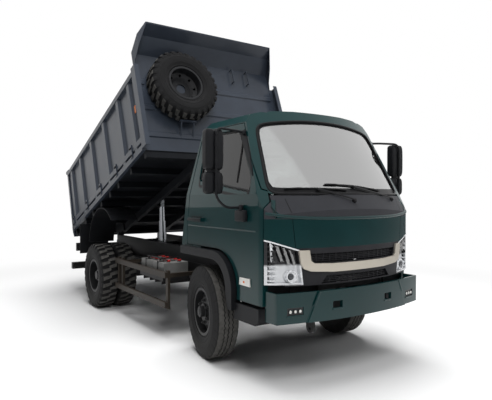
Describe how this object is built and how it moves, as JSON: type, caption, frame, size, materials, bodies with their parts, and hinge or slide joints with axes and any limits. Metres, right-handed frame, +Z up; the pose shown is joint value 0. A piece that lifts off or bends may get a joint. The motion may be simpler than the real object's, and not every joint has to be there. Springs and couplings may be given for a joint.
{
  "type": "dump truck",
  "caption": "Light forward-control dump truck: green cab, side-ribbed steel bed partly raised on a telescopic hoist, top-hinged tailgate, twin rear tyres and a spare on the headboard.",
  "frame": {"origin": "on the ground, at the middle of the truck's bounding box in plan", "axes": "-Y is the way the truck faces, +X its own left side, +Z up"},
  "size_m": [2.374, 5.4958, 3.4845],
  "materials": {
    "battery_white": "white casing with red caps",
    "bed_slate": "satin dark slate blue",
    "black_plastic": "matte black",
    "black_steel": "satin black chassis paint",
    "body_green": "glossy dark teal green",
    "clear_glass": "clear with a slight green tint",
    "grey_casting": "rough cast",
    "grey_plastic": "matte dark grey",
    "guard_brown": "satin brownish black",
    "lamp_glass": "clear lens over a bright reflector",
    "ram_chrome": "polished hard chrome",
    "rust_steel": "dull heat-stained steel",
    "satin_chrome": "satin champagne chrome",
    "seat_cloth": "dark woven cloth",
    "tyre_rubber": "matte black rubber",
    "wheel_steel": "dark satin wheel paint"
  },
  "bodies": {
    "chassis": {"frame": "black_steel", "front_axle": "black_steel", "leaf_springs": "black_steel", "rear_axle": "grey_casting", "engine": "grey_casting", "driveline": "grey_casting", "exhaust": "rust_steel", "tanks": "black_steel", "battery": "battery_white", "side_guards": "guard_brown", "tail_bar": "black_steel", "bumper": "body_green", "front_lamps": "lamp_glass", "cab_floor": "black_steel", "cab_rear": "body_green", "cab_roof": "body_green", "cab_front": "body_green", "cowl_panel": "grey_plastic", "cab_glass": "clear_glass", "grille": "grey_plastic", "grille_band": "satin_chrome", "arch_flares": "black_plastic", "seats": "seat_cloth", "dashboard": "grey_plastic", "wipers": "black_plastic"},
    "door_right": {"door_right": "body_green", "door_glass_right": "clear_glass", "mirror_right": "black_plastic"},
    "door_left": {"door_left": "body_green", "door_glass_left": "clear_glass", "mirror_left": "black_plastic"},
    "knuckle_right": {"knuckle_right": "black_steel"},
    "knuckle_left": {"knuckle_left": "black_steel"},
    "tie_rod": {"tie_rod": "black_steel"},
    "wheel_front_right": {"front_tyre_right": "tyre_rubber", "front_rim_right": "wheel_steel"},
    "wheel_front_left": {"front_tyre_left": "tyre_rubber", "front_rim_left": "wheel_steel"},
    "wheels_rear_right": {"rear_tyres_right": "tyre_rubber", "rear_rims_right": "wheel_steel"},
    "wheels_rear_left": {"rear_tyres_left": "tyre_rubber", "rear_rims_left": "wheel_steel"},
    "bed": {"bed_floor": "bed_slate", "bed_sides": "bed_slate", "bed_headboard": "bed_slate", "bed_fenders": "black_plastic", "spare_tyre": "tyre_rubber", "spare_rim": "wheel_steel"},
    "tailgate": {"tailgate": "bed_slate"},
    "hoist_barrels": {"hoist_barrels": "black_steel"},
    "hoist_stage_1": {"hoist_stage_1": "ram_chrome"},
    "hoist_stage_2": {"hoist_stage_2": "ram_chrome"},
    "hoist_rods": {"hoist_rods": "ram_chrome"}
  },
  "joints": [
    {"name": "bed_tip", "type": "hinge", "parent": "chassis", "child": "bed", "pos_m": [0, 2.03007, 0.92], "axis": [-1, 0, 0], "range_deg": [-20.17, 30]},
    {"name": "tailgate_swing", "type": "hinge", "parent": "bed", "child": "tailgate", "pos_m": [0, 2.71563, 1.86987], "axis": [1, 0, 0], "range_deg": [0, 60]},
    {"name": "right_steer", "type": "hinge", "parent": "chassis", "child": "knuckle_right", "pos_m": [-0.69, -1.59793, 0.4225], "axis": [0, 0, 1], "range_deg": [-23, 41]},
    {"name": "left_steer", "type": "hinge", "parent": "chassis", "child": "knuckle_left", "pos_m": [0.69, -1.59793, 0.4225], "axis": [0, 0, 1], "range_deg": [-23, 41]},
    {"name": "tie_rod_turn", "type": "hinge", "parent": "knuckle_right", "child": "tie_rod", "pos_m": [-0.67201, -1.48435, 0.3025], "axis": [0, 0, 1], "range_deg": [-41, 23]},
    {"name": "front_right_spin", "type": "hinge", "parent": "knuckle_right", "child": "wheel_front_right", "pos_m": [-0.78877, -1.58229, 0.4225], "axis": [0.9877, -0.1564, 0], "continuous": true},
    {"name": "front_left_spin", "type": "hinge", "parent": "knuckle_left", "child": "wheel_front_left", "pos_m": [0.78877, -1.61357, 0.4225], "axis": [0.9877, -0.1564, 0], "continuous": true},
    {"name": "rear_right_spin", "type": "hinge", "parent": "chassis", "child": "wheels_rear_right", "pos_m": [-0.972, 1.09207, 0.4225], "axis": [1, 0, 0], "continuous": true},
    {"name": "rear_left_spin", "type": "hinge", "parent": "chassis", "child": "wheels_rear_left", "pos_m": [0.972, 1.09207, 0.4225], "axis": [1, 0, 0], "continuous": true},
    {"name": "right_door_swing", "type": "hinge", "parent": "chassis", "child": "door_right", "pos_m": [-0.842, -2.46593, 1.1], "axis": [0, 0, 1], "range_deg": [0, 65]},
    {"name": "left_door_swing", "type": "hinge", "parent": "chassis", "child": "door_left", "pos_m": [0.842, -2.46593, 1.1], "axis": [0, 0, -1], "range_deg": [0, 65]},
    {"name": "ram_swing", "type": "hinge", "parent": "chassis", "child": "hoist_barrels", "pos_m": [0, 0.77593, 0.54851], "axis": [-1, 0, 0], "range_deg": [-10.1, 15.01]},
    {"name": "ram_stage_1", "type": "slide", "parent": "hoist_barrels", "child": "hoist_stage_1", "axis": [0, 0.0495, 0.9988], "range_m": [-0.14172, 0.21069]},
    {"name": "ram_stage_2", "type": "slide", "parent": "hoist_stage_1", "child": "hoist_stage_2", "axis": [0, 0.0495, 0.9988], "range_m": [-0.14172, 0.21069]},
    {"name": "ram_rod", "type": "slide", "parent": "hoist_stage_2", "child": "hoist_rods", "axis": [0, 0.0495, 0.9988], "range_m": [-0.14172, 0.21069]}
  ],
  "couplings": [
    {"joint": "left_steer", "follows": "right_steer", "ratio": 1},
    {"joint": "tie_rod_turn", "follows": "right_steer", "ratio": -1},
    {"joint": "ram_swing", "follows": "bed_tip", "ratio": 0.5},
    {"joint": "ram_stage_1", "follows": "bed_tip", "m_per_rad": 0.402},
    {"joint": "ram_stage_2", "follows": "bed_tip", "m_per_rad": 0.402},
    {"joint": "ram_rod", "follows": "bed_tip", "m_per_rad": 0.402}
  ]
}
